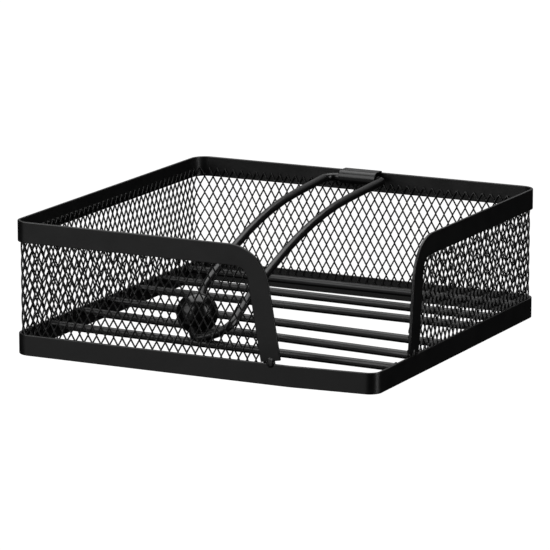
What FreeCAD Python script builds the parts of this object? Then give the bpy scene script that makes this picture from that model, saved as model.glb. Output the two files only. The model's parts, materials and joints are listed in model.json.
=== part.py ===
import FreeCAD, Part
import math
import os
import re

import Sketcher
from FreeCAD import Placement, Rotation, Vector

# A flat napkin dispenser: a square tray of expanded metal between a flat top rim and a flat bottom band,
# open at the front right corner, with a floor of round rods and a wire arm that holds the napkins down.
# The tray is centred on the origin and stands on Z = 0, with its front at -Y and its hinge at the back.

document = FreeCAD.newDocument("NapkinDispenser")

# ---------------------------------------------------------------- driving dimensions, in millimetres

DIMENSIONS = {
    # tray
    "tray_width": 190.0,
    "tray_height": 65.0,
    "corner_radius": 8.0,
    "strip_height": 10.2,
    "strip_thickness": 1.3,
    # the free stretch of the bottom band beyond the front leg: where it starts to toe in, how steeply, and
    # how much tighter the open corner is bent than the other three
    "toe_start": 50.0,
    "toe_slope": 0.095,
    "corner_tightness": 2.5,
    # the rim's two legs at the open corner: where the inner foot corner stands, how far the leg runs
    # sideways for each unit that it comes down, and how wide it is
    "foot_height": 10.45,
    "front_foot": 37.5,
    "front_lean": 0.173,
    "front_leg_width": 10.3,
    "right_foot": -44.7,
    "right_lean": 0.123,
    "right_leg_width": 10.2,
    "bend_outside": 21.0,
    "bend_inside": 7.0,
    # expanded metal, as a plain sheet
    "mesh_thickness": 0.3,
    "mesh_bottom": 6.0,
    "mesh_top": 59.4,
    "mesh_inset": 1.2,
    "mesh_corner_height": 8.5,
    # floor rods
    "rod_radius": 2.0,
    "rod_height": 8.0,
    "rod_end_gap": 0.2,
    "rod_weld_radius": 0.7,
    # hinge sleeve: a sheet clip over the back rim, curled round the wire
    "sheet_thickness": 0.7,
    "sleeve_left": -10.8,
    "sleeve_length": 20.2,
    "sleeve_skirt": 8.0,
    "sleeve_bore": 2.7,
    "hinge_y": 89.6,
    "sleeve_gap_slope": 0.36,
    "running_clearance": 0.08,
    # wire arm and its ball
    "wire_radius": 2.0,
    "hinge_left_x": -18.0,
    "hinge_left_bend": 6.0,
    "hinge_right_x": 12.4,
    "hinge_right_bend": 2.4,
    "shoulder_x": 14.0,
    "shoulder_y": 6.5,
    "shoulder_z": 58.5,
    "shoulder_bend": 220.0,
    "knee_bend": 12.0,
    "left_knee_x": -14.5,
    "left_knee_y": -52.2,
    "left_knee_z": 32.8,
    "right_knee_x": 11.4,
    "right_knee_y": -51.8,
    "right_knee_z": 33.0,
    "left_tip_x": -8.7,
    "left_tip_y": -77.0,
    "left_tip_z": 11.9,
    "left_tip_bend": 7.0,
    "right_tip_x": 12.0,
    "right_tip_y": -77.6,
    "right_tip_z": 19.2,
    "right_tip_bend": 10.0,
    "wire_end_gap": 0.5,
    "ball_radius": 10.0,
    "ball_station": 0.49,
    # welds
    "tack_half_width": 2.3,
    "tack_half_height": 3.0,
    "tack_half_depth": 1.2,
    "leg_weld_height": 10.85,
    "sleeve_tack_margin": 4.6,
    "seam_radius": 0.8,
    "seam_depth": 0.45,
    "seam_place": 47.5,
    "seam_margin": 0.2,
}

# Each rod by the place of its middle along Y, how far its left end is back of that, and how far it is up.
# The rods are set by hand and aren't quite parallel.
RODS = [
    (80.0, 0.0, 0.0),
    (51.0, 1.8, 0.2),
    (27.3, 0.9, 0.0),
    (-8.0, 4.0, 0.4),
    (-35.7, 4.8, 0.5),
    (-64.0, 2.5, 0.1),
]

sizes = document.addObject("Spreadsheet::Sheet", "Sizes")
for row, (alias, number) in enumerate(DIMENSIONS.items(), start=1):
    sizes.set("A%d" % row, alias)
    sizes.set("B%d" % row, str(number))
    sizes.setAlias("B%d" % row, alias)
document.recompute()

MARGIN = 5.0  # how far a cutting outline reaches past the piece that it cuts
subparts = []


# ---------------------------------------------------------------- helpers

def size(alias):
    """The number in a cell of the sheet."""
    return float(sizes.get(alias))


def bound(expression):
    """An expression on cell names, with each name written as the sheet's own."""
    return re.sub(r"[a-z]+_[a-z_]+", lambda match: "Sizes." + match.group(), expression)


def value(expression):
    """What an expression on cell names comes to."""
    return float(sizes.evalExpression(bound(expression)))


def bind(feature, **expressions):
    """Bind properties of a feature to the sheet."""
    for name, expression in expressions.items():
        feature.setExpression(name, bound(expression))


def new_body(label):
    """A body that is one sub-part."""
    body = document.addObject("PartDesign::Body", label)
    subparts.append(body)
    return body


def sketch_on(body, plane, offset="0"):
    """A sketch on one of the body's own origin planes, moved out along the plane's normal."""
    sketch = body.newObject("Sketcher::SketchObject", body.Label + "_outline")
    origin_plane = [item for item in body.Origin.OriginFeatures if item.Role == plane][0]
    sketch.AttachmentSupport = [(origin_plane, "")]
    sketch.MapMode = "FlatFace"
    sketch.setExpression("AttachmentOffset.Base.z", bound(offset))
    return sketch


def add_polygon(sketch, corners):
    """A closed polygon whose corners are pairs of expressions on the sheet."""
    points = [Vector(value(across), value(along), 0) for across, along in corners]
    first = sketch.GeometryCount
    count = len(points)
    for index, point in enumerate(points):
        sketch.addGeometry(Part.LineSegment(point, points[(index + 1) % count]), False)
    for index in range(count):
        following = first + (index + 1) % count
        sketch.addConstraint(Sketcher.Constraint("Coincident", first + index, 2, following, 1))
    for index, corner in enumerate(corners):
        for kind, expression in zip(("DistanceX", "DistanceY"), corner):
            place = Sketcher.Constraint(kind, -1, 1, first + index, 1, value(expression))
            number = sketch.addConstraint(place)
            sketch.setExpression("Constraints[%d]" % number, bound(expression))


def add_circle(sketch, across, along, radius):
    """A circle whose centre and radius are expressions on the sheet."""
    centre = Vector(value(across), value(along), 0)
    index = sketch.addGeometry(Part.Circle(centre, Vector(0, 0, 1), value(radius)), False)
    places = [
        (Sketcher.Constraint("DistanceX", -1, 1, index, 3, value(across)), across),
        (Sketcher.Constraint("DistanceY", -1, 1, index, 3, value(along)), along),
        (Sketcher.Constraint("Radius", index, value(radius)), radius),
    ]
    for constraint, expression in places:
        number = sketch.addConstraint(constraint)
        sketch.setExpression("Constraints[%d]" % number, bound(expression))


def square(half):
    """The corners of a square about the origin."""
    return [("-(%s)" % half, "-(%s)" % half), (half, "-(%s)" % half), (half, half), ("-(%s)" % half, half)]


def sprung_square(half):
    """The same square with the front side toed in beyond the front leg."""
    left_front, right_front, *back = square(half)
    toed_in = "-(%s) + toe_slope * (%s - toe_start)" % (half, half)
    return [left_front, ("toe_start", right_front[1]), (half, toed_in)] + back


def pad(body, sketch, length, inward=False):
    """Pad a sketch of the body."""
    feature = body.newObject("PartDesign::Pad", body.Label + "_pad")
    feature.Profile = sketch
    feature.Reversed = inward
    bind(feature, Length=length)
    document.recompute()
    return feature


def pocket(body, sketch, length):
    """Pocket a sketch of the body, and make sure that it cut something."""
    before = body.Shape.Volume
    feature = body.newObject("PartDesign::Pocket", body.Label + "_pocket")
    feature.Profile = sketch
    bind(feature, Length=length)
    document.recompute()
    if not body.Shape.Volume < before - 0.01:
        raise RuntimeError("a pocket of %s cuts nothing" % body.Label)
    return feature


def fillet_at(body, radius, places):
    """Round the edges of the body whose middles are at these places."""
    names = []
    for number, edge in enumerate(body.Shape.Edges, start=1):
        middle = edge.BoundBox.Center
        if any(middle.distanceToPoint(place) < 0.05 for place in places):
            names.append("Edge%d" % number)
    if len(names) != len(places):
        raise RuntimeError("%s: %d edges found for %d places" % (body.Label, len(names), len(places)))
    solid = body.Tip
    feature = body.newObject("PartDesign::Fillet", body.Label + "_fillet")
    feature.Base = (solid, names)
    bind(feature, Radius=radius)
    document.recompute()
    return feature


def new_part(kind, label, **expressions):
    """A Part primitive bound to the sheet: a sub-part or a piece of one."""
    feature = document.addObject(kind, label)
    bind(feature, **expressions)
    return feature


def group(pieces, label):
    """Several separate solids as one sub-part."""
    compound = document.addObject("Part::Compound", label)
    compound.Links = pieces
    subparts.append(compound)


# ---------------------------------------------------------------- strips and mesh

HALF = "tray_width / 2"
INSIDE = "tray_width / 2 - strip_thickness"
RIM_BOTTOM = "tray_height - strip_height"


def ring(body, outer, inner, low, height, outer_radius, inner_radius, outline=square):
    """A rounded square ring between two heights."""
    sketch = sketch_on(body, "XY_Plane", low)
    for half in (outer, inner):
        add_polygon(sketch, outline(half))
    pad(body, sketch, height)
    middle = value(low) + value(height) / 2
    for half, radius in ((outer, outer_radius), (inner, inner_radius)):
        corners = [Vector(value(across), value(along), middle) for across, along in outline(half)]
        if outline is sprung_square:
            _, _, open_corner, *others = corners
            fillet_at(body, radius + " - corner_tightness", [open_corner])
            corners = [corners[0]] + others
        fillet_at(body, radius, corners)


WALLS = {
    # side: its plane, how far out the wall's outside stands, which way the open corner lies along it
    "front": ("XZ_Plane", HALF, 1),
    "right": ("YZ_Plane", HALF, -1),
}


def leg_edge(side, height, outer=False, inset="0"):
    """Where a leg's inner or outer edge stands at a height, measured along its wall."""
    way = WALLS[side][2]
    lean, foot = side + "_lean", side + "_foot"
    slant = "%d * %s" % (way, lean)
    if not outer:
        return "%s - %s * ((%s) - foot_height)" % (foot, slant, height)
    across = "%d * (%s_leg_width - (%s)) / sqrt(1 + %s ^ 2)" % (way, side, inset, lean)
    return "%s + %s - %s * ((%s) - (%s))" % (foot, across, slant, height, leg_foot_height(side))


def leg_foot_height(side):
    """The height of the outer corner of a leg's foot, which is cut square to the leg."""
    lean = side + "_lean"
    return "foot_height + %s_leg_width * %s / sqrt(1 + %s ^ 2)" % (side, lean, lean)


def wall_point(side, along, height):
    """A point half-way through the strip, on one wall."""
    depth = value("(%s + %s) / 2" % (HALF, INSIDE))
    if side == "front":
        return Vector(along, -depth, height)
    return Vector(depth, along, height)


def cut_corner(body, side, low, inset):
    """Cut away all that lies beyond a leg's outer edge, above a height."""
    plane, outside, way = WALLS[side]
    beyond = "%d * (%s + %g)" % (way, HALF, MARGIN)
    above = "tray_height + %g" % MARGIN
    sketch = sketch_on(body, plane, "%s + 1" % outside)
    add_polygon(sketch, [
        (leg_edge(side, low, True, inset), low),
        (leg_edge(side, above, True, inset), above),
        (beyond, above),
        (beyond, low),
    ])
    pocket(body, sketch, "corner_radius + 2")


def add_leg(body, side):
    """One of the rim's legs: a leaning strip, cut square at its foot."""
    plane, outside, _ = WALLS[side]
    middle = "tray_height - strip_height / 2"
    sketch = sketch_on(body, plane, outside)
    add_polygon(sketch, [
        (leg_edge(side, "foot_height"), "foot_height"),
        (leg_edge(side, leg_foot_height(side), True), leg_foot_height(side)),
        (leg_edge(side, middle, True), middle),
        (leg_edge(side, middle), middle),
    ])
    pad(body, sketch, "strip_thickness", inward=True)


def make_top_rim():
    """The rim and its two legs, one strip bent on edge."""
    body = new_body("top_rim")
    ring(body, HALF, INSIDE, RIM_BOTTOM, "strip_height", "corner_radius", "corner_radius - strip_thickness")
    for side in WALLS:
        add_leg(body, side)
    for side in WALLS:
        cut_corner(body, side, "%s - %g" % (RIM_BOTTOM, MARGIN), "0")
    inner, outer = [], []
    for side in WALLS:
        inner.append(wall_point(side, value(leg_edge(side, RIM_BOTTOM)), value(RIM_BOTTOM)))
        outer.append(wall_point(side, value(leg_edge(side, "tray_height", True)), size("tray_height")))
    fillet_at(body, "bend_inside", inner)
    fillet_at(body, "bend_outside", outer)


def make_bottom_band():
    """The closed ring that the dispenser stands on."""
    body = new_body("bottom_band")
    radius = "corner_radius"
    ring(body, HALF, INSIDE, "0", "strip_height", radius, radius + " - strip_thickness", sprung_square)


def make_mesh_wall():
    """The expanded metal, as a plain sheet inside both strips, cut away at the open corner."""
    body = new_body("mesh_wall")
    inner = "tray_width / 2 - strip_thickness - mesh_thickness"
    radius = "corner_radius - strip_thickness"
    ring(body, INSIDE, inner, "mesh_bottom", "mesh_top - mesh_bottom", radius, radius + " - mesh_thickness",
         sprung_square)
    for side in WALLS:
        cut_corner(body, side, "mesh_corner_height", "mesh_inset")
    depth = value("(%s + %s) / 2" % (INSIDE, inner))
    height = size("mesh_top")
    along = [value(leg_edge(side, "mesh_top", True, "mesh_inset")) for side in WALLS]
    corners = [Vector(along[0], -depth, height), Vector(depth, along[1], height)]
    fillet_at(body, "bend_outside - mesh_inset", corners)


# ---------------------------------------------------------------- floor

def rod_ends(middle, back, up):
    """The left and right end points of a rod's centre line."""
    reach = value("%s - mesh_thickness - rod_end_gap" % INSIDE)
    height = size("rod_height")
    return Vector(-reach, middle + back, height + up), Vector(reach, middle - back, height - up)


def make_rods():
    """Six round rods from wall to wall."""
    for number, station in enumerate(RODS, start=1):
        left, right = rod_ends(*station)
        rod = new_part("Part::Cylinder", "floor_rod_%d" % number, Radius="rod_radius")
        rod.Height = (right - left).Length
        rod.Placement = Placement(left, Rotation(Vector(0, 0, 1), right - left))
        subparts.append(rod)


def make_rod_welds():
    """A bead round each rod end, where it meets the wall."""
    beads = []
    for station in RODS:
        left, right = rod_ends(*station)
        for place in (left, right):
            bead = new_part("Part::Torus", "bead", Radius1="rod_radius", Radius2="rod_weld_radius")
            bead.Placement = Placement(place, Rotation(Vector(0, 0, 1), right - left))
            beads.append(bead)
    group(beads, "rod_welds")


# ---------------------------------------------------------------- welds

def tack(place, rotation=Rotation()):
    """A small rounded lump of weld, with its short axis along Y before it is turned."""
    lump = new_part("Part::Ellipsoid", "tack", Radius1="tack_half_height", Radius2="tack_half_width",
                    Radius3="tack_half_depth")
    lump.Placement = Placement(place, rotation)
    return lump


def make_leg_welds():
    """The tack between each leg's foot and the bottom band."""
    for side in WALLS:
        inner_corner = value(leg_edge(side, "foot_height"))
        outer_corner = value(leg_edge(side, leg_foot_height(side), True))
        along = (inner_corner + outer_corner) / 2
        turn = Rotation() if side == "front" else Rotation(Vector(0, 0, 1), 90)
        lump = tack(wall_point(side, along, size("leg_weld_height")), turn)
        lump.Label = "leg_weld_" + side
        subparts.append(lump)


def make_band_seam():
    """The butt weld that closes the bottom band, at the back."""
    seam = new_part("Part::Cylinder", "band_seam_weld", Radius="seam_radius",
                    Height="strip_height - 2 * seam_margin")
    depth = value(HALF + " - seam_depth")
    seam.Placement = Placement(Vector(size("seam_place"), depth, size("seam_margin")), Rotation())
    subparts.append(seam)


# ---------------------------------------------------------------- hinge

# The curl is wider than the wire, which lies at the bottom of it: that is where the arm's axis is.
CURL_Z = "tray_height - sleeve_bore"
HINGE_Z = CURL_Z + " - (sleeve_bore - wire_radius - running_clearance)"


def make_hinge_sleeve():
    """The clip: a skirt behind the rim, a strap over it and a curl round the wire."""
    body = new_body("hinge_sleeve")
    top = "tray_height + sheet_thickness"
    rear = HALF + " + sheet_thickness"
    skirt_bottom = "tray_height - sleeve_skirt"
    strap = sketch_on(body, "YZ_Plane", "sleeve_left")
    add_polygon(strap, [
        ("hinge_y", "tray_height"), (HALF, "tray_height"), (HALF, skirt_bottom),
        (rear, skirt_bottom), (rear, top), ("hinge_y", top),
    ])
    pad(body, strap, "sleeve_length")
    curl = sketch_on(body, "YZ_Plane", "sleeve_left")
    add_circle(curl, "hinge_y", CURL_Z, "sleeve_bore + sheet_thickness")
    add_circle(curl, "hinge_y", CURL_Z, "sleeve_bore")
    pad(body, curl, "sleeve_length")
    beyond = "hinge_y + 2 * sleeve_bore"
    mouth = sketch_on(body, "YZ_Plane", "sleeve_left + sleeve_length + 1")
    add_polygon(mouth, [
        ("hinge_y", CURL_Z), (beyond, CURL_Z + " + sleeve_gap_slope * 2 * sleeve_bore"),
        (beyond, "tray_height"), ("hinge_y", "tray_height"),
    ])
    pocket(body, mouth, "sleeve_length + 2")


def make_sleeve_welds():
    """Two tacks under the clip's skirt, on the back of the rim."""
    left = value("sleeve_left + sleeve_tack_margin")
    right = value("sleeve_left + sleeve_length - sleeve_tack_margin")
    depth = value(HALF + " + sheet_thickness / 4")
    height = value("tray_height - sleeve_skirt")
    on_its_side = Rotation(Vector(0, 1, 0), 90)
    group([tack(Vector(along, depth, height), on_its_side) for along in (left, right)], "sleeve_welds")


# ---------------------------------------------------------------- arm

def bent_wire_path(corners):
    """Straight runs joined by arcs: each corner is a point and the radius of its bend."""
    points = [corner for corner, _ in corners]
    edges = []
    start = points[0]
    for before, (corner, radius), after in zip(points, corners[1:-1], points[2:]):
        inward = (before - corner).normalize()
        outward = (after - corner).normalize()
        half_angle = inward.getAngle(outward) / 2
        tangent = radius / math.tan(half_angle)
        bisector = (inward + outward).normalize()
        middle = corner + bisector * (radius / math.sin(half_angle) - radius)
        arc_start = corner + inward * tangent
        arc_end = corner + outward * tangent
        edges.append(Part.makeLine(start, arc_start))
        edges.append(Part.Arc(arc_start, middle, arc_end).toShape())
        start = arc_end
    edges.append(Part.makeLine(start, points[-1]))
    return Part.Wire(edges)


def place_of(name):
    """A bend point of the arm, from its three cells."""
    return Vector(size(name + "_x"), size(name + "_y"), size(name + "_z"))


def arm_corners():
    """The arm's bend points, from the wire's left end in the sleeve to its right end."""
    hinge_y, hinge_z = size("hinge_y"), value(HINGE_Z)
    end = size("wire_end_gap") / 2
    shoulder_x, shoulder_y, shoulder_z = size("shoulder_x"), size("shoulder_y"), size("shoulder_z")
    shoulder_bend, knee_bend = size("shoulder_bend"), size("knee_bend")
    return [
        (Vector(-end, hinge_y, hinge_z), 0),
        (Vector(size("hinge_left_x"), hinge_y, hinge_z), size("hinge_left_bend")),
        (Vector(-shoulder_x, shoulder_y, shoulder_z), shoulder_bend),
        (place_of("left_knee"), knee_bend),
        (place_of("left_tip"), size("left_tip_bend")),
        (place_of("right_tip"), size("right_tip_bend")),
        (place_of("right_knee"), knee_bend),
        (Vector(shoulder_x, shoulder_y, shoulder_z), shoulder_bend),
        (Vector(size("hinge_right_x"), hinge_y, hinge_z), size("hinge_right_bend")),
        (Vector(end, hinge_y, hinge_z), 0),
    ]


def make_arm_wire():
    """One round wire, bent in space, swept along its centre line."""
    corners = arm_corners()
    path = document.addObject("Part::Feature", "arm_path")
    path.Shape = bent_wire_path(corners)
    profile = new_part("Part::Circle", "arm_section", Radius="wire_radius")
    first, second = corners[0][0], corners[1][0]
    profile.Placement = Placement(first, Rotation(Vector(0, 0, 1), second - first))
    document.recompute()
    sweep = document.addObject("Part::Sweep", "arm_wire")
    sweep.Sections = [profile]
    sweep.Spine = (path, ["Edge%d" % number for number in range(1, len(path.Shape.Edges) + 1)])
    sweep.Solid = True
    sweep.Frenet = False
    subparts.append(sweep)


def make_weight_ball():
    """A ball with a bore through its middle, threaded on the wire above the left tip bend."""
    ball = new_part("Part::Sphere", "ball_blank", Radius="ball_radius")
    bore = new_part("Part::Cylinder", "ball_bore", Radius="wire_radius + running_clearance",
                    Height="2 * ball_radius + 2")
    bore.setExpression("Placement.Base.z", bound("-ball_radius - 1"))
    drilled = document.addObject("Part::Cut", "weight_ball")
    drilled.Base = ball
    drilled.Tool = bore
    knee, tip = place_of("left_knee"), place_of("left_tip")
    centre = knee + (tip - knee) * size("ball_station")
    drilled.Placement = Placement(centre, Rotation(Vector(0, 0, 1), tip - knee))
    subparts.append(drilled)


# ---------------------------------------------------------------- build, check and export

make_bottom_band()
make_top_rim()
make_mesh_wall()
make_rods()
make_rod_welds()
make_leg_welds()
make_band_seam()
make_hinge_sleeve()
make_sleeve_welds()
make_arm_wire()
make_weight_ball()
document.recompute()

for item in document.Objects:
    if "Invalid" in item.State or "Error" in item.State:
        raise RuntimeError("%s did not compute: %s" % (item.Label, item.State))

os.makedirs("parts", exist_ok=True)
for subpart in subparts:
    shape = subpart.Shape
    if shape.isNull() or not shape.isValid():
        raise RuntimeError("%s has no valid shape" % subpart.Label)
    shape.exportStep("parts/%s.step" % subpart.Label)
    print("%-18s %8.2f cm3  %s" % (subpart.Label, shape.Volume / 1000, shape.BoundBox))
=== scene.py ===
import json
import math

import bmesh
import bpy
from mathutils import Matrix, Vector, noise


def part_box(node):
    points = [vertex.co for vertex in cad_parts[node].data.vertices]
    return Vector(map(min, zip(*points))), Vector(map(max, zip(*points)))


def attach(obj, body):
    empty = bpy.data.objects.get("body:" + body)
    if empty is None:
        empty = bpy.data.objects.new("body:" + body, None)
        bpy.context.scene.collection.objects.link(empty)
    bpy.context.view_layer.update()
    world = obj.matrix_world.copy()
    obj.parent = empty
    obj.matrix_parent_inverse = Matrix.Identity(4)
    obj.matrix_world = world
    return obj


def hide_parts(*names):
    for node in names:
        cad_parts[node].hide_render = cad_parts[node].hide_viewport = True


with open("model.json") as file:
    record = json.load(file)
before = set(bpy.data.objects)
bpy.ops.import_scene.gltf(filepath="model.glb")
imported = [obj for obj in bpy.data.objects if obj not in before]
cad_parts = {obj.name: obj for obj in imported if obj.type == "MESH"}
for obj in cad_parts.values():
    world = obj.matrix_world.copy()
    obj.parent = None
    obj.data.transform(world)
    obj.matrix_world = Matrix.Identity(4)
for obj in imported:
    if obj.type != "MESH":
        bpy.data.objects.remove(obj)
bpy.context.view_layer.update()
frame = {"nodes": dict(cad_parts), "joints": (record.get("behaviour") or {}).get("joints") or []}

# The looks of a flat napkin dispenser: expanded metal between two flat strips, a floor of rods and a wire arm
# with a ball. All lengths are in metres. The places of pieces are read from the CAD frame.

MM = 0.001

# ---------------------------------------------------------------- the tray's outline, from the frame

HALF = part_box("bottom_band")[1].x
STRIP_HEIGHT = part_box("bottom_band")[1].z
RIM_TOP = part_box("top_rim")[1].z
RIM_BOTTOM = RIM_TOP - STRIP_HEIGHT
FOOT_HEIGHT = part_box("top_rim")[0].z
STRIP_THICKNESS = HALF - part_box("mesh_wall")[1].x
MESH_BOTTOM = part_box("mesh_wall")[0].z
MESH_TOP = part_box("mesh_wall")[1].z
CORNER = 8.0 * MM
STRAIGHT = 2 * (HALF - CORNER)

# the free stretch of the band at the open corner, which is bent tighter and toes in beyond the front leg
OPEN_CORNER = 5.5 * MM
TOE_START = 50.0 * MM
TOE_SLOPE = 0.095
TOE_FADE = (-86.0 * MM, -56.0 * MM)

# the rim's legs: how far the foot's inner corner is from the wall's middle towards the open corner, how far
# the leg runs sideways for each unit that it comes down, and its width
LEGS = {
    "front": (37.5 * MM, 0.173, 10.3 * MM),
    "right": (44.7 * MM, 0.123, 10.2 * MM),
}
BEND_OUTSIDE = 21.0 * MM
BEND_INSIDE = 7.0 * MM
MESH_INSET = 1.2 * MM
MESH_CORNER_HEIGHT = 8.5 * MM

# expanded metal: the pitch of the diamonds, the strand's section and the short bond where two strands meet
DIAMOND_WIDTH = 4.55 * MM
DIAMOND_HEIGHT = 8.55 * MM
KNOT_ROW = 55.0 * MM
STRAND_WIDTH = 0.68 * MM
STRAND_DEPTH = 0.8 * MM
STRAND_EDGE = 0.2 * MM
HALF_BOND = 0.2 * MM
NOTCH = 0.28 * MM

# How the rolled sheet lies in the tray, in millimetres: a place along the walls, how far the diamonds are
# shifted along there, and how far their rows have risen. They rise towards both of the sheet's ends.
# The numbers aren't chosen by hand: a measuring script gave them, rounded to a tenth.
LIE = [
    (-60, -0.3, 3.5),
    (20, -0.2, 1.9),
    (70, 0.5, 0.9),
    (160, 0.5, 1.1),
    (200, 1.0, 0.4),
    (240, 0.9, 0.0),
    (255, 0.3, 0.0),
    (295, 1.0, 0.0),
    (315, 0.2, 0.0),
    (400, -0.7, 0.3),
    (440, -0.2, 0.5),
    (480, -1.6, 0.5),
    (500, -1.3, 1.2),
    (520, -1.7, 1.8),
    (540, -2.4, 2.3),
    (575, -1.9, 4.2),
    (680, -0.3, 3.5),
]

EDGE_RADIUS = 0.35 * MM
WIRE_RADIUS = 2.0 * MM
WIRE_END_ROUNDING = 0.3 * MM
SHEET = 0.7 * MM
SLEEVE_BORE = 2.7 * MM
SLEEVE_MOUTH_SLOPE = 0.36
SLEEVE_TACK_LENGTH = 6.0 * MM
FLOOR_ROD_COUNT = 6

# how a leg's sheared end is rounded off: how far each ring is drawn in, and how far it is from the end
CUT_ROUNDING = ((0.28 * MM, 0.0), (0.1 * MM, 0.08 * MM), (0.0, 0.28 * MM))


# ---------------------------------------------------------------- mesh helpers

def new_piece(name, vertices, faces, body, material, replaced=()):
    """A mesh object that rides on a body and stands for some CAD nodes."""
    mesh = bpy.data.meshes.new(name)
    mesh.from_pydata([tuple(vertex) for vertex in vertices], [], faces)
    mesh.validate()
    piece = bpy.data.objects.new(name, mesh)
    bpy.context.scene.collection.objects.link(piece)
    for polygon in mesh.polygons:
        polygon.use_smooth = True
    mesh.materials.append(material)
    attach(piece, body)
    if replaced:
        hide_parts(*replaced)
    return piece


def clean(piece, distance=0.002 * MM):
    """Merge doubled vertices and make the faces point outwards."""
    work = bmesh.new()
    work.from_mesh(piece.data)
    bmesh.ops.remove_doubles(work, verts=work.verts, dist=distance)
    bmesh.ops.recalc_face_normals(work, faces=work.faces)
    work.to_mesh(piece.data)
    work.free()


def mark_edges(piece, values):
    """Say for each vertex how near it is to an exposed edge: the materials wear there."""
    attribute = piece.data.attributes.new("edge_wear", "FLOAT", "POINT")
    attribute.data.foreach_set("value", values)


def loft(rings, closed):
    """Vertices and faces of a skin over rings with equally many points, capped if it isn't closed."""
    count = len(rings[0])
    vertices = [point for ring in rings for point in ring]
    faces = []
    last = len(rings) if closed else len(rings) - 1
    for row in range(last):
        here, there = row * count, (row + 1) % len(rings) * count
        for column in range(count):
            beside = (column + 1) % count
            faces.append((here + column, here + beside, there + beside, there + column))
    if not closed:
        faces.append(tuple(reversed(range(count))))
        faces.append(tuple(range((len(rings) - 1) * count, len(rings) * count)))
    return vertices, faces


def rounded_section(width, thickness, radius, inset=0.0):
    """A rounded rectangle as (across, through, wear) points, with support points beside each corner."""
    support = 0.06 * MM
    steps = 3
    corners = [(width, 0, -90), (width, thickness, 0), (0, thickness, 90), (0, 0, 180)]
    section = []
    for across, through, start in corners:
        centre_a = across + (radius if across == 0 else -radius)
        centre_t = through + (radius if through == 0 else -radius)
        arc = []
        for step in range(steps + 1):
            angle = math.radians(start + 90 * step / steps)
            reach = radius - inset
            arc.append((centre_a + reach * math.cos(angle), centre_t + reach * math.sin(angle), 1.0))
        first, final = math.radians(start), math.radians(start + 90)
        before = (arc[0][0] + support * math.sin(first), arc[0][1] - support * math.cos(first), 0.0)
        after = (arc[-1][0] - support * math.sin(final), arc[-1][1] + support * math.cos(final), 0.0)
        section.extend([before] + arc + [after])
    return section


def tube_rings(path, radius, segments):
    """Rings of a round tube along a path, with no twist."""
    rings = []
    normal = None
    for index, point in enumerate(path):
        before = path[max(index - 1, 0)]
        after = path[min(index + 1, len(path) - 1)]
        tangent = (after - before).normalized()
        if normal is None:
            normal = tangent.orthogonal().normalized()
        normal = (normal - tangent * normal.dot(tangent)).normalized()
        side = tangent.cross(normal)
        ring = []
        for step in range(segments):
            angle = 2 * math.pi * step / segments
            ring.append(point + (normal * math.cos(angle) + side * math.sin(angle)) * radius)
        rings.append(ring)
    return rings


def dome_ends(rings, rounding):
    """Round off the two ends of a tube's rings."""
    ended = []
    for ring, inward in ((rings[0], rings[1]), (rings[-1], rings[-2])):
        centre = sum(ring, Vector()) / len(ring)
        towards = (sum(inward, Vector()) / len(inward) - centre).normalized()
        radius = (ring[0] - centre).length
        steps = []
        for step in range(4):
            angle = math.radians(90 * step / 3)
            shrink = (radius - rounding * (1 - math.sin(angle))) / radius
            shift = towards * rounding * (1 - math.cos(angle))
            steps.append([centre + (point - centre) * shrink + shift for point in ring])
        ended.append(steps)
    return ended[0] + rings[1:-1] + list(reversed(ended[1]))


# ---------------------------------------------------------------- materials

def set_input(node, name, value):
    """Set a socket's own value."""
    node.inputs[name].default_value = value


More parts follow.
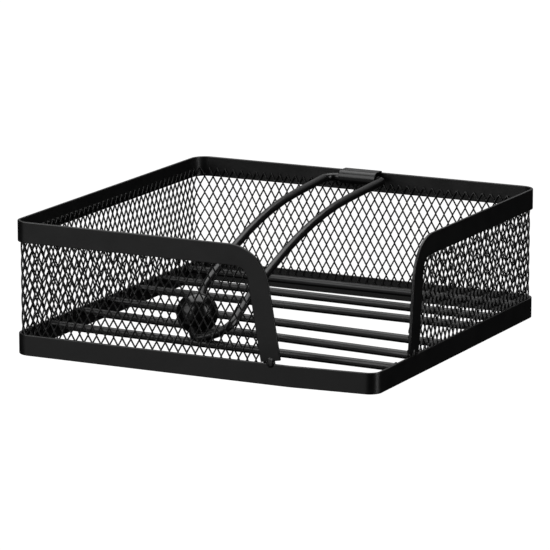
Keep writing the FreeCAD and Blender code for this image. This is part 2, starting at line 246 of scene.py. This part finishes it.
def coat(name, colour, roughness, peel, coat_weight=0.0):
    """A black coat on steel: a fine orange peel, uneven gloss, and edges rubbed smoother and greyer."""
    material = bpy.data.materials.new(name)
    material.use_nodes = True
    tree = material.node_tree
    nodes, link = tree.nodes, tree.links.new
    shader = nodes["Principled BSDF"]
    set_input(shader, "IOR", 1.5)
    set_input(shader, "Coat Weight", coat_weight)
    set_input(shader, "Coat Roughness", 0.12)
    place = nodes.new("ShaderNodeTexCoord")

    def noise_at(scale, detail):
        texture = nodes.new("ShaderNodeTexNoise")
        set_input(texture, "Scale", scale)
        set_input(texture, "Detail", detail)
        link(place.outputs["Object"], texture.inputs["Vector"])
        return texture.outputs["Fac"]

    def mapped(source, low, high, from_low=0.3, from_high=0.7):
        ramp = nodes.new("ShaderNodeMapRange")
        set_input(ramp, "From Min", from_low)
        set_input(ramp, "From Max", from_high)
        set_input(ramp, "To Min", low)
        set_input(ramp, "To Max", high)
        link(source, ramp.inputs["Value"])
        return ramp.outputs["Result"]

    def combined(operation, first, second):
        node = nodes.new("ShaderNodeMath")
        node.operation = operation
        for socket, value in zip(node.inputs, (first, second)):
            if isinstance(value, (int, float)):
                socket.default_value = value
            else:
                link(value, socket)
        return node.outputs["Value"]

    wear_source = nodes.new("ShaderNodeAttribute")
    wear_source.attribute_name = "edge_wear"
    patches = mapped(noise_at(260.0, 3.0), 0.0, 1.0, 0.45, 0.7)
    wear = combined("MULTIPLY", wear_source.outputs["Fac"], patches)

    dusty = nodes.new("ShaderNodeMix")
    dusty.data_type = "RGBA"
    dusty.inputs["A"].default_value = (*[channel * 0.85 for channel in colour], 1)
    dusty.inputs["B"].default_value = (*[channel * 1.2 for channel in colour], 1)
    link(mapped(noise_at(38.0, 4.0), 0.0, 1.0), dusty.inputs["Factor"])
    rubbed = nodes.new("ShaderNodeMix")
    rubbed.data_type = "RGBA"
    rubbed.inputs["B"].default_value = (*[channel * 2.4 for channel in colour], 1)
    link(wear, rubbed.inputs["Factor"])
    link(dusty.outputs["Result"], rubbed.inputs["A"])
    link(rubbed.outputs["Result"], shader.inputs["Base Color"])

    uneven = mapped(noise_at(120.0, 4.0), roughness - 0.04, roughness + 0.04)
    worn = combined("MULTIPLY", wear, -0.08)
    link(combined("ADD", uneven, worn), shader.inputs["Roughness"])

    bump = nodes.new("ShaderNodeBump")
    set_input(bump, "Strength", peel)
    set_input(bump, "Distance", 0.04 * MM)
    link(noise_at(1500.0, 2.0), bump.inputs["Height"])
    link(bump.outputs["Normal"], shader.inputs["Normal"])
    return material


POWDER = coat("black_powder_coat", (0.003, 0.003, 0.0031), 0.34, 0.3)
WIRE = coat("black_powder_on_wire", (0.003, 0.003, 0.0031), 0.32, 0.2)
BEAD = coat("black_powder_on_weld", (0.003, 0.003, 0.0031), 0.34, 0.5)
GLOSS = coat("gloss_black_ball", (0.002, 0.002, 0.0021), 0.2, 0.1)


# ---------------------------------------------------------------- places on the tray's walls

def lap(depth):
    """The length of one wall and one corner, measured at a depth inside the tray's outside."""
    return STRAIGHT + math.pi / 2 * (CORNER - depth)


def corner_point(turn, radius, height, depth):
    """A point on the corner at the front wall's left end. A tight one has straight runs beside its bend."""
    run, bend_length = CORNER - radius, radius * math.pi / 2
    travelled = turn / (math.pi / 2) * (2 * run + bend_length)
    before = min(travelled, run)
    after = max(travelled - run - bend_length, 0)
    bend = (travelled - before - after) / radius
    outward = Vector((-math.sin(bend), -math.cos(bend), 0))
    return Vector((radius - HALF + run - before, radius - HALF + after, height)) + outward * (radius - depth)


def toed_in(point):
    """Where a point of the walls goes when the free stretch at the open corner springs inwards."""
    full, none = TOE_FADE
    share = min(max((none - point.y) / (none - full), 0), 1)
    return point + Vector((0, share * TOE_SLOPE * max(point.x - TOE_START, 0), 0))


def on_wall(along, height, depth, measured_at=0.0):
    """The point at a distance along the walls, from the middle of the front wall by way of the left one."""
    side, rest = divmod(along + STRAIGHT / 2, lap(measured_at))
    if rest <= STRAIGHT:
        point = Vector((STRAIGHT / 2 - rest, depth - HALF, height))
    else:
        turn = (rest - STRAIGHT) / (CORNER - measured_at)
        radius = OPEN_CORNER if side % 4 == 3 else CORNER
        point = corner_point(turn, radius, height, depth)
    return toed_in(Matrix.Rotation(-side * math.pi / 2, 3, "Z") @ point)


def along_of(side, opening, measured_at=0.0):
    """Where a place that far from the wall's middle, towards the open corner, is along the walls."""
    if side == "front":
        return -opening
    return 3 * lap(measured_at) + opening


class Leg:
    """The two edges of one leg, as distances towards the open corner at a height."""

    def __init__(self, side, inset=0.0):
        self.side = side
        self.foot, self.lean, width = LEGS[side]
        self.run = 1 / math.sqrt(1 + self.lean ** 2)
        self.width = width - inset
        self.outer_foot = self.foot + self.width * self.run
        self.outer_foot_height = FOOT_HEIGHT + self.width * self.lean * self.run

    def inner(self, height):
        return self.foot - self.lean * (height - FOOT_HEIGHT)

    def outer(self, height):
        return self.outer_foot - self.lean * (height - self.outer_foot_height)

    def bend(self, edge, level, radius, steps):
        """An arc from the leg's edge to a level line, as (opening, height) points from the leg up."""
        corner = Vector((edge(level), level))
        down = Vector((self.lean, -1)).normalized()
        middle_wall = Vector((-1, 0))
        half = down.angle(middle_wall) / 2
        centre = corner + (down + middle_wall).normalized() * (radius / math.sin(half))
        start = corner + down * (radius / math.tan(half)) - centre
        end = corner + middle_wall * (radius / math.tan(half)) - centre
        first, last = math.atan2(start.y, start.x), math.atan2(end.y, end.x)
        angles = [first + (last - first) * step / steps for step in range(steps + 1)]
        return [centre + Vector((math.cos(angle), math.sin(angle))) * radius for angle in angles]


# ---------------------------------------------------------------- the two strips

def strip_ring(inner, outer, inset=0.0):
    """One section of a strip on edge, between an inner and an outer (along, height) place."""
    width = (outer - inner).length
    ring, wear = [], []
    for across, through, worn in rounded_section(width, STRIP_THICKNESS, EDGE_RADIUS, inset):
        place = inner.lerp(outer, across / width)
        ring.append(on_wall(place.x, place.y, through))
        wear.append(worn)
    return ring, wear


def leg_sections(side):
    """Inner and outer places from a leg's foot to the end of its bend, in (along, height)."""
    leg = Leg(side)
    steps = 18
    inner = leg.bend(leg.inner, RIM_BOTTOM, BEND_INSIDE, steps)
    outer = leg.bend(leg.outer, RIM_TOP, BEND_OUTSIDE, steps)
    foot_inner = Vector((leg.foot, FOOT_HEIGHT))
    foot_outer = Vector((leg.outer_foot, leg.outer_foot_height))
    pairs = []
    for share in (0, 0.25, 0.5, 0.75):
        pairs.append((foot_inner.lerp(inner[0], share), foot_outer.lerp(outer[0], share)))
    pairs.extend(zip(inner, outer))
    return [[Vector((along_of(side, place.x), place.y)) for place in pair] for pair in pairs]


def upright_pairs(start, end, low, high):
    """Upright sections from one place to another, close together where the strip goes round a corner."""
    stops = [start, end]
    corner_steps = 12
    arc = CORNER * math.pi / 2
    for side in range(-1, 5):
        corner = side * lap(0) + STRAIGHT / 2
        stops.extend(corner + arc * step / corner_steps for step in range(corner_steps + 1))
        stops.extend(corner - STRAIGHT * share for share in (0.2, 0.4, 0.6, 0.8))
    inside = sorted(stop for stop in stops if start <= stop <= end)
    return [(Vector((stop, low)), Vector((stop, high))) for stop in inside]


def rounded_cut(foot, above):
    """Sections that round off the sheared end of a leg, from the end inwards."""
    along = (above[0] - foot[0]).normalized()
    sections = []
    for inset, inward in CUT_ROUNDING:
        ring, _ = strip_ring(*[place + along * inward for place in foot], inset=inset)
        sections.append((ring, [1.0] * len(ring)))
    return sections


def make_rim():
    """The rim with its two legs, from the front foot round the tray to the right foot."""
    front, right = leg_sections("front"), leg_sections("right")
    start = max(place.x for place in front[-1])
    end = min(place.x for place in right[-1])
    run = upright_pairs(start + MM, end - MM, RIM_BOTTOM, RIM_TOP)
    middle = [strip_ring(*pair) for pair in front[1:] + run + right[:0:-1]]
    sections = rounded_cut(*front[:2]) + middle + rounded_cut(*right[:2])[::-1]
    vertices, faces = loft([ring for ring, _ in sections], closed=False)
    piece = new_piece("rim_strip", vertices, faces, "tray", POWDER, ["top_rim"])
    mark_edges(piece, [worn for _, wear in sections for worn in wear])
    clean(piece)


def make_band():
    """The closed band that the tray stands on."""
    lap_length = 4 * lap(0)
    pairs = upright_pairs(0, lap_length, 0, STRIP_HEIGHT)[:-1]
    rings, wear = [], []
    for inner, outer in pairs:
        ring, worn = strip_ring(inner, outer)
        rings.append(ring)
        wear.extend(worn)
    vertices, faces = loft(rings, closed=True)
    piece = new_piece("band_strip", vertices, faces, "tray", POWDER, ["bottom_band"])
    mark_edges(piece, wear)
    clean(piece)


# ---------------------------------------------------------------- expanded metal

MESH_FACE = STRIP_THICKNESS
MESH_MIDDLE = MESH_FACE + STRAND_DEPTH / 2
MESH_LAP = 4 * lap(MESH_MIDDLE)
COLUMNS = round(MESH_LAP / DIAMOND_WIDTH)
HALF_PITCH = MESH_LAP / COLUMNS / 2
HALF_RISE = DIAMOND_HEIGHT / 2


def knot_outline(half_width):
    """A knot's outline with the nearer halves of its four strands, in 20 points anticlockwise.

    Each quarter is the notch beside the knot, then the end of a strand."""
    strand = Vector((HALF_PITCH, HALF_RISE - 2 * HALF_BOND)).normalized()
    across = Vector((-strand.y, strand.x)) * half_width
    middle = Vector((HALF_PITCH / 2, HALF_RISE / 2))
    low, high = middle - across, middle + across
    side = low - strand * (low.y / strand.y)
    top = high - strand * (high.x / strand.x)
    quarter = [
        Vector((side.x + NOTCH * strand.x * 0.45, 0)),
        side + strand * NOTCH,
        low,
        high,
        top + strand * NOTCH,
    ]
    crown = Vector((0, top.y + NOTCH * strand.y * 0.5))
    left = [Vector((-point.x, point.y)) for point in reversed(quarter[1:])]
    upper = quarter + [crown] + left
    lower = [Vector((-point.x, -point.y)) for point in upper]
    return upper + lower


def knot_faces(count):
    """Faces of one knot over four rings of the same outline."""
    strand_ends = {2, 7, 12, 17}
    faces = []
    for ring in range(3):
        for point in range(count):
            if point not in strand_ends:
                beside = (point + 1) % count
                faces.append((ring * count + point, ring * count + beside,
                              (ring + 1) * count + beside, (ring + 1) * count + point))
    for ring, step in ((0, -1), (3, 1)):
        core = [point for point in range(count) if point % 5 not in (2, 3)]
        faces.append(tuple(ring * count + point for point in core[::step]))
        for end in sorted(strand_ends):
            arm = [end - 1, end, end + 1, end + 2]
            faces.append(tuple(ring * count + point % count for point in arm[::step]))
    return faces


def lie_at(along):
    """How far the diamonds are shifted along the walls and raised at a place."""
    place = along / MM
    for (start, *before), (end, *after) in zip(LIE, LIE[1:]):
        if place < end:
            break
    share = min(max((place - start) / (end - start), 0), 1)
    return [(first + (second - first) * share) * MM for first, second in zip(before, after)]


def lattice(first, last, low, high):
    """Flat expanded metal over a stretch of wall, as a bmesh in (along, height, depth)."""
    outlines = [knot_outline(STRAND_WIDTH / 2 - STRAND_EDGE), knot_outline(STRAND_WIDTH / 2)]
    layers = [
        (outlines[0], 0.0),
        (outlines[1], STRAND_EDGE),
        (outlines[1], STRAND_DEPTH - STRAND_EDGE),
        (outlines[0], STRAND_DEPTH),
    ]
    count = len(outlines[0])
    one_knot = knot_faces(count)
    vertices, faces = [], []
    lowest_row = math.floor((low - KNOT_ROW) / HALF_RISE) - 1
    for row in range(lowest_row, math.ceil((high - KNOT_ROW) / HALF_RISE) + 2):
        height = KNOT_ROW + row * HALF_RISE
        for column in range(math.floor(first / HALF_PITCH) - 2, math.ceil(last / HALF_PITCH) + 3):
            if (row + column) % 2:
                continue
            start = len(vertices)
            for outline, depth in layers:
                for point in outline:
                    vertices.append((column * HALF_PITCH + point.x, height + point.y, depth))
            faces.extend(tuple(start + corner for corner in face) for face in one_knot)
    mesh = bpy.data.meshes.new("lattice")
    mesh.from_pydata(vertices, [], faces)
    work = bmesh.new()
    work.from_mesh(mesh)
    bpy.data.meshes.remove(mesh)
    bmesh.ops.remove_doubles(work, verts=work.verts, dist=0.004 * MM)
    for vertex in work.verts:
        shift, rise = lie_at(vertex.co.x)
        vertex.co.x += shift
        vertex.co.y += rise
    return work


def shear(work, point, outward):
    """Cut away the side of a flat lattice that a direction points to, and close the cut strands."""
    everything = work.verts[:] + work.edges[:] + work.faces[:]
    cut = bmesh.ops.bisect_plane(work, geom=everything, plane_co=(point.x, point.y, 0),
                                 plane_no=(outward.x, outward.y, 0), clear_outer=True)
    rim = [item for item in cut["geom_cut"] if isinstance(item, bmesh.types.BMEdge) and item.is_boundary]
    bmesh.ops.holes_fill(work, edges=rim, sides=0)


def cut_along_leg(work, side, level):
    """Shear a lattice along a leg and round its bend, just inside the strip's outer edge."""
    leg = Leg(side, MESH_INSET)
    arc = leg.bend(leg.outer, level, BEND_OUTSIDE - MESH_INSET, 7)
    ends = [Vector((leg.outer(0), 0))] + arc
    for lower, upper in zip(ends, ends[1:]):
        first = Vector((along_of(side, lower.x, MESH_MIDDLE), lower.y))
        second = Vector((along_of(side, upper.x, MESH_MIDDLE), upper.y))
        run = second - first
        outward = Vector((run.y, -run.x)) * (-1 if side == "front" else 1)
        shear(work, first, outward)


def wrap(work, name, replaced):
    """Bend a flat lattice round the tray's walls and make a piece of it."""
    for vertex in work.verts:
        along, height, depth = vertex.co
        vertex.co = on_wall(along, height, MESH_FACE + depth, MESH_MIDDLE)
    work.normal_update()
    bmesh.ops.recalc_face_normals(work, faces=work.faces)
    if work.calc_volume(signed=True) < 0:
        bmesh.ops.reverse_faces(work, faces=work.faces)
    mesh = bpy.data.meshes.new(name)
    work.to_mesh(mesh)
    work.free()
    vertices = [vertex.co.copy() for vertex in mesh.vertices]
    faces = [tuple(polygon.vertices) for polygon in mesh.polygons]
    bpy.data.meshes.remove(mesh)
    return new_piece(name, vertices, faces, "tray", POWDER, replaced)


def make_mesh_wall():
    """The mesh between the two legs, and the low stretch of it inside the band at the open corner."""
    front, right = Leg("front", MESH_INSET), Leg("right", MESH_INSET)
    start = along_of("front", front.outer(0), MESH_MIDDLE)
    end = along_of("right", right.outer(0), MESH_MIDDLE)
    wall = lattice(start, end, MESH_BOTTOM, MESH_TOP)
    shear(wall, Vector((0, MESH_TOP)), Vector((0, 1)))
    shear(wall, Vector((0, MESH_BOTTOM)), Vector((0, -1)))
    for side in LEGS:
        cut_along_leg(wall, side, MESH_TOP)
    wrap(wall, "mesh_strands", ["mesh_wall"])
    corner = lattice(end, start + MESH_LAP, MESH_BOTTOM, MESH_CORNER_HEIGHT)
    shear(corner, Vector((0, MESH_CORNER_HEIGHT)), Vector((0, 1)))
    shear(corner, Vector((0, MESH_BOTTOM)), Vector((0, -1)))
    shear(corner, Vector((end, 0)), Vector((-1, 0)))
    shear(corner, Vector((start + MESH_LAP, 0)), Vector((1, 0)))
    wrap(corner, "mesh_strands_at_corner", [])


# ---------------------------------------------------------------- floor rods and welds

def rod_line(number):
    """The ends of a rod's centre line, from its CAD mesh."""
    vertices = [vertex.co for vertex in frame["nodes"]["floor_rod_%d" % number].data.vertices]
    left = [vertex for vertex in vertices if vertex.x < 0]
    right = [vertex for vertex in vertices if vertex.x > 0]
    return sum(left, Vector()) / len(left), sum(right, Vector()) / len(right)


def make_rods():
    """Six round rods with softly rounded ends."""
    for number in range(1, FLOOR_ROD_COUNT + 1):
        left, right = rod_line(number)
        steps = 12
        path = [left.lerp(right, step / steps) for step in range(steps + 1)]
        rings = dome_ends(tube_rings(path, WIRE_RADIUS, 32), WIRE_END_ROUNDING)
        vertices, faces = loft(rings, closed=False)
        piece = new_piece("rod_%d" % number, vertices, faces, "tray", WIRE,
                          ["floor_rod_%d" % number])
        clean(piece)


def lumpy(point, centre, size, seed):
    """Push a point of a weld in or out from its centre by a few octaves of noise."""
    away = (point - centre).normalized()
    lumps_per_metre = 900
    lump = noise.fractal((point - centre) * lumps_per_metre + Vector((seed, seed * 0.7, 0)), 0.8, 2.0, 3)
    return point + away * lump * size


def make_rod_welds():
    """An uneven bead round each end of each rod."""
    vertices, faces = [], []
    major_steps, minor_steps = 28, 12
    for number in range(1, FLOOR_ROD_COUNT + 1):
        for end, centre in enumerate(rod_line(number)):
            inward = Vector((1 if end == 0 else -1, 0, 0))
            base = len(vertices)
            for turn in range(major_steps):
                angle = 2 * math.pi * turn / major_steps
                around = Vector((0, math.cos(angle), math.sin(angle)))
                bulge = 0.55 + 0.2 * noise.noise(around * 1.3 + Vector((number * 3, end * 7, 0)))
                for step in range(minor_steps):
                    slope = 2 * math.pi * step / minor_steps
                    offset = around * math.cos(slope) + inward * math.sin(slope)
                    middle = centre + around * WIRE_RADIUS
                    point = middle + offset * bulge * MM
                    vertices.append(lumpy(point, middle, 0.05 * MM, number + end))
            for turn in range(major_steps):
                for step in range(minor_steps):
                    here, there = turn * minor_steps, (turn + 1) % major_steps * minor_steps
                    beside = (step + 1) % minor_steps
                    faces.append((base + here + step, base + there + step,
                                  base + there + beside, base + here + beside))
    piece = new_piece("rod_weld_beads", vertices, faces, "tray", BEAD, ["rod_welds"])
    clean(piece)


def blob(low, high, seed):
    """A lump of weld that fills a box, as vertices and faces."""
    unevenness, squareness, fill = 0.14, 0.9, 0.92
    work = bmesh.new()
    bmesh.ops.create_icosphere(work, subdivisions=4, radius=1.0)
    centre, half = (low + high) / 2, (high - low) / 2
    points = []
    for vertex in work.verts:
        swell = 1 + unevenness * noise.fractal(vertex.co * 1.6 + Vector((seed * 5.1, 0, 0)), 0.9, 2.0, 3)
        flat = Vector([math.copysign(abs(share) ** squareness, share) for share in vertex.co])
        points.append(centre + Vector([a * b for a, b in zip(flat, half)]) * swell * fill)
    faces = [tuple(vertex.index for vertex in face.verts) for face in work.faces]
    work.free()
    return points, faces


def make_leg_welds():
    """The tack under each leg's foot."""
    for seed, side in enumerate(LEGS, start=1):
        low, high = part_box("leg_weld_" + side)
        points, faces = blob(low, high, seed)
        new_piece("leg_weld_bead_" + side, points, faces, "tray", BEAD, ["leg_weld_" + side])


def make_band_seam():
    """The dressed butt weld in the band, a low ridge with ripples."""
    low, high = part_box("band_seam_weld")
    centre = (low + high) / 2
    half_width = (high.x - low.x) / 2
    rings = []
    steps = 40
    for step in range(steps + 1):
        share = step / steps
        height = low.z + (high.z - low.z) * share
        swell = 0.8 + 0.12 * abs(math.sin(share * math.pi * 9)) + 0.1 * noise.noise(Vector((0, 0, share * 6)))
        swell *= min(1.0, 0.35 + 8 * min(share, 1 - share))
        ring = []
        for turn in range(16):
            angle = 2 * math.pi * turn / 16
            across = Vector((math.cos(angle), math.sin(angle), 0)) * half_width * swell
            ring.append(Vector((centre.x, centre.y, height)) + across)
        rings.append(ring)
    vertices, faces = loft(rings, closed=False)
    new_piece("band_seam_bead", vertices, faces, "tray", BEAD, ["band_seam_weld"])


# ---------------------------------------------------------------- hinge sleeve

JOINTS = {joint["name"]: joint for joint in frame["joints"]}
HINGE = Vector(JOINTS["arm_swing"]["pos_m"])


def sleeve_profile():
    """The sheet's middle line in the YZ plane: up the back, over the rim and round the wire."""
    rear = HALF + SHEET / 2
    over = RIM_TOP + SHEET / 2
    bend = 0.6 * MM
    curl = SLEEVE_BORE + SHEET / 2
    centre_z = RIM_TOP - SLEEVE_BORE
    skirt_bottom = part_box("hinge_sleeve")[0].z
    line = [(rear, skirt_bottom + (over - bend - skirt_bottom) * share) for share in (0, 0.05, 0.5, 1)]
    for step in range(1, 9):
        angle = math.radians(90 * step / 8)
        line.append((rear - bend + bend * math.cos(angle), over - bend + bend * math.sin(angle)))
    line.append((rear * 0.5 + HINGE.y * 0.5, over))
    mouth = math.degrees(math.atan(SLEEVE_MOUTH_SLOPE))
    turns = 48
    for step in range(turns + 1):
        angle = math.radians(90 + (270 + mouth) * step / turns)
        line.append((HINGE.y + curl * math.cos(angle), centre_z + curl * math.sin(angle)))
    return [Vector((0, *place)) for place in line]


def make_sleeve():
    """The clip over the back rim, bent from one piece of sheet."""
    low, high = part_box("hinge_sleeve")
    path = sleeve_profile()
    rings, wear = [], []
    radius = 0.22 * MM
    width = high.x - low.x
    for index, point in enumerate(path):
        tangent = (path[min(index + 1, len(path) - 1)] - path[max(index - 1, 0)]).normalized()
        normal = Vector((1, 0, 0)).cross(tangent)
        ring = []
        inset = 0.15 * MM if index in (0, len(path) - 1) else 0.0
        for across, through, worn in rounded_section(width, SHEET, radius, inset):
            ring.append(Vector((low.x + across, 0, 0)) + point + normal * (through - SHEET / 2))
            wear.append(worn)
        rings.append(ring)
    vertices, faces = loft(rings, closed=False)
    piece = new_piece("sleeve_sheet", vertices, faces, "tray", POWDER, ["hinge_sleeve"])
    mark_edges(piece, wear)
    clean(piece)


def make_sleeve_tacks():
    """Two tacks under the clip's skirt."""
    low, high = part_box("sleeve_welds")
    vertices, faces = [], []
    for seed, start in enumerate((low.x, high.x - SLEEVE_TACK_LENGTH), start=4):
        far = Vector((start + SLEEVE_TACK_LENGTH, high.y, high.z))
        points, lump = blob(Vector((start, low.y, low.z)), far, seed)
        base = len(vertices)
        vertices.extend(points)
        faces.extend(tuple(base + corner for corner in face) for face in lump)
    new_piece("sleeve_tacks", vertices, faces, "tray", BEAD, ["sleeve_welds"])


# ---------------------------------------------------------------- arm and ball

WIRE_END_GAP = 0.5 * MM

# the arm's bends between its two hinge corners: a point and the radius of the bend, in millimetres, as a
# fitting script gave them
ARM_BENDS = [
    ((-14.0, 6.5, 58.5), 220.0),
    ((-14.5, -52.2, 32.8), 12.0),
    ((-8.7, -77.0, 11.9), 7.0),
    ((12.0, -77.6, 19.2), 10.0),
    ((11.4, -51.8, 33.0), 12.0),
    ((14.0, 6.5, 58.5), 220.0),
]
LEFT_CORNER, LEFT_BEND = -18.0 * MM, 6.0 * MM
RIGHT_CORNER, RIGHT_BEND = 12.4 * MM, 2.4 * MM


def bent_path(corners, step_angle=math.radians(4)):
    """Straight runs joined by arcs, as close points."""
    path = [corners[0][0]]
    for (before, _), (corner, radius), (after, _) in zip(corners, corners[1:-1], corners[2:]):
        inward, outward = (before - corner).normalized(), (after - corner).normalized()
        half = inward.angle(outward) / 2
        tangent = radius / math.tan(half)
        centre = corner + (inward + outward).normalized() * (radius / math.sin(half))
        start, end = corner + inward * tangent - centre, corner + outward * tangent - centre
        turn = math.pi - 2 * half
        steps = max(6, math.ceil(turn / step_angle))
        for step in range(steps + 1):
            share = step / steps
            path.append(centre + start.slerp(end, share).normalized() * radius)
    path.append(corners[-1][0])
    return path


def make_arm():
    """One round wire from its left end in the sleeve, round the loop and back to its right end."""
    end = Vector((WIRE_END_GAP / 2, 0, 0))
    corners = [(HINGE - end, 0), (HINGE + Vector((LEFT_CORNER, 0, 0)), LEFT_BEND)]
    corners += [(Vector(place) * MM, radius * MM) for place, radius in ARM_BENDS]
    corners += [(HINGE + Vector((RIGHT_CORNER, 0, 0)), RIGHT_BEND), (HINGE + end, 0)]
    rings = dome_ends(tube_rings(bent_path(corners), WIRE_RADIUS, 28), WIRE_END_ROUNDING)
    vertices, faces = loft(rings, closed=False)
    piece = new_piece("arm_loop", vertices, faces, "arm", WIRE, ["arm_wire"])
    clean(piece)


def make_ball():
    """The ball: turned from a profile with a bore for the wire and softly broken edges at its mouths."""
    joint = JOINTS["ball_turn"]
    centre, axis = Vector(joint["pos_m"]), Vector(joint["axis"]).normalized()
    low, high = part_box("weight_ball")
    radius = max(high - low) / 2
    bore = WIRE_RADIUS + 0.08 * MM
    break_angle = math.asin((bore + 0.5 * MM) / radius)
    profile = []
    steps = 56
    for step in range(steps + 1):
        angle = break_angle + (math.pi - 2 * break_angle) * step / steps
        profile.append((radius * math.sin(angle), radius * math.cos(angle)))
    mouth = radius * math.cos(break_angle)
    lip = 0.35 * MM
    profile.append((bore + 0.15 * MM, -mouth + 0.02 * MM))
    profile.append((bore, -mouth + lip))
    profile.extend((bore, level) for level in (-mouth / 2, 0, mouth / 2))
    profile.append((bore, mouth - lip))
    profile.append((bore + 0.15 * MM, mouth - 0.02 * MM))
    first = axis.orthogonal().normalized()
    second = axis.cross(first)
    rings = []
    turns = 72
    for turn in range(turns):
        angle = 2 * math.pi * turn / turns
        around = first * math.cos(angle) + second * math.sin(angle)
        rings.append([centre + around * reach + axis * level for reach, level in profile])
    vertices, faces = loft(rings, closed=True)
    piece = new_piece("ball", vertices, faces, "ball", GLOSS, ["weight_ball"])
    clean(piece)


# ---------------------------------------------------------------- floor, lights and camera

def closes_outline(face, count):
    """Whether a face of a loft joins the outline's last point to its first."""
    columns = {corner % count for corner in face}
    return {0, count - 1} <= columns


def make_floor():
    """A wide pale floor that curves up at its far edge. It lights nothing and isn't mirrored in the coat."""
    flat, rise = 5.0, 3.0
    rise_steps, turns = 12, 64
    outline = [(0.0, 0.0), (flat, 0.0)]
    for step in range(1, rise_steps + 1):
        angle = math.radians(90 * step / rise_steps)
        outline.append((flat + rise * math.sin(angle), rise * (1 - math.cos(angle))))
    rings = []
    for turn in range(turns):
        angle = 2 * math.pi * turn / turns
        rings.append([Vector((reach * math.cos(angle), reach * math.sin(angle), level))
                      for reach, level in outline])
    vertices, faces = loft(rings, closed=True)
    faces = [face for face in faces if len(set(face)) == 4 and not closes_outline(face, len(outline))]
    mesh = bpy.data.meshes.new("floor")
    mesh.from_pydata([tuple(vertex) for vertex in vertices], [], faces)
    floor = bpy.data.objects.new("floor", mesh)
    bpy.context.scene.collection.objects.link(floor)
    material = bpy.data.materials.new("pale_floor")
    material.use_nodes = True
    shader = material.node_tree.nodes["Principled BSDF"]
    set_input(shader, "Base Color", (0, 0, 0, 1))
    set_input(shader, "Specular IOR Level", 0.0)
    set_input(shader, "Emission Color", (1, 1, 1, 1))
    set_input(shader, "Emission Strength", 1.05)
    mesh.materials.append(material)
    floor.visible_diffuse = False
    floor.visible_glossy = False
    floor.visible_shadow = False


def add_area_light(name, direction, distance, width, height, radiance):
    """A softbox in a direction from the tray, facing it, with a given radiance."""
    light = bpy.data.lights.new(name, "AREA")
    light.shape = "RECTANGLE"
    light.size, light.size_y = width, height
    light.energy = radiance * math.pi * width * height
    softbox = bpy.data.objects.new(name, light)
    bpy.context.scene.collection.objects.link(softbox)
    towards = Vector(direction).normalized()
    softbox.location = Vector((0, 0, RIM_TOP / 2)) + towards * distance
    softbox.rotation_mode = "QUATERNION"
    softbox.rotation_quaternion = towards.to_track_quat("Z", "Y")
    softbox.visible_camera = False


def make_lights():
    """Softboxes overhead and on three sides, a glow from the table in front and a faint fill."""
    add_area_light("overhead", (-0.15, 0.27, 1.0), 1.5, 1.7, 1.6, 2.6)
    add_area_light("front_left", (-0.46, -0.8, 0.48), 1.5, 1.5, 1.2, 2.5)
    add_area_light("right", (0.97, -0.04, 0.25), 1.4, 0.5, 1.3, 4.2)
    add_area_light("backdrop", (-0.25, 0.9, 0.32), 1.5, 1.8, 0.6, 0.4)
    add_area_light("table_glow", (-0.44, -0.85, -0.4), 1.5, 1.6, 1.2, 0.3)
    world = bpy.data.worlds.new("studio")
    bpy.context.scene.world = world
    world.use_nodes = True
    background = world.node_tree.nodes["Background"]
    set_input(background, "Color", (1, 1, 1, 1))
    set_input(background, "Strength", 0.008)


def make_camera():
    """A long lens from the front right, a little above the rim."""
    azimuth, elevation = math.radians(26.748), math.radians(12.3)
    target = Vector((-2.8 * MM, -0.1 * MM, 29.3 * MM))
    distance = 1.9607
    back = Vector((math.sin(azimuth) * math.cos(elevation), -math.cos(azimuth) * math.cos(elevation),
                   math.sin(elevation)))
    data = bpy.data.cameras.new("camera")
    data.sensor_width = 36.0
    data.lens = 263.88
    data.clip_start, data.clip_end = 0.05, 60.0
    camera = bpy.data.objects.new("camera", data)
    bpy.context.scene.collection.objects.link(camera)
    camera.location = target + back * distance
    camera.rotation_mode = "QUATERNION"
    camera.rotation_quaternion = (-back).to_track_quat("-Z", "Y")
    bpy.context.scene.camera = camera


# ---------------------------------------------------------------- build

make_camera()
make_lights()
make_floor()
make_band()
make_rim()
make_mesh_wall()
make_rods()
make_rod_welds()
make_leg_welds()
make_band_seam()
make_sleeve()
make_sleeve_tacks()
make_arm()
make_ball()
bpy.context.scene.view_settings.view_transform = "Standard"

bpy.context.view_layer.update()
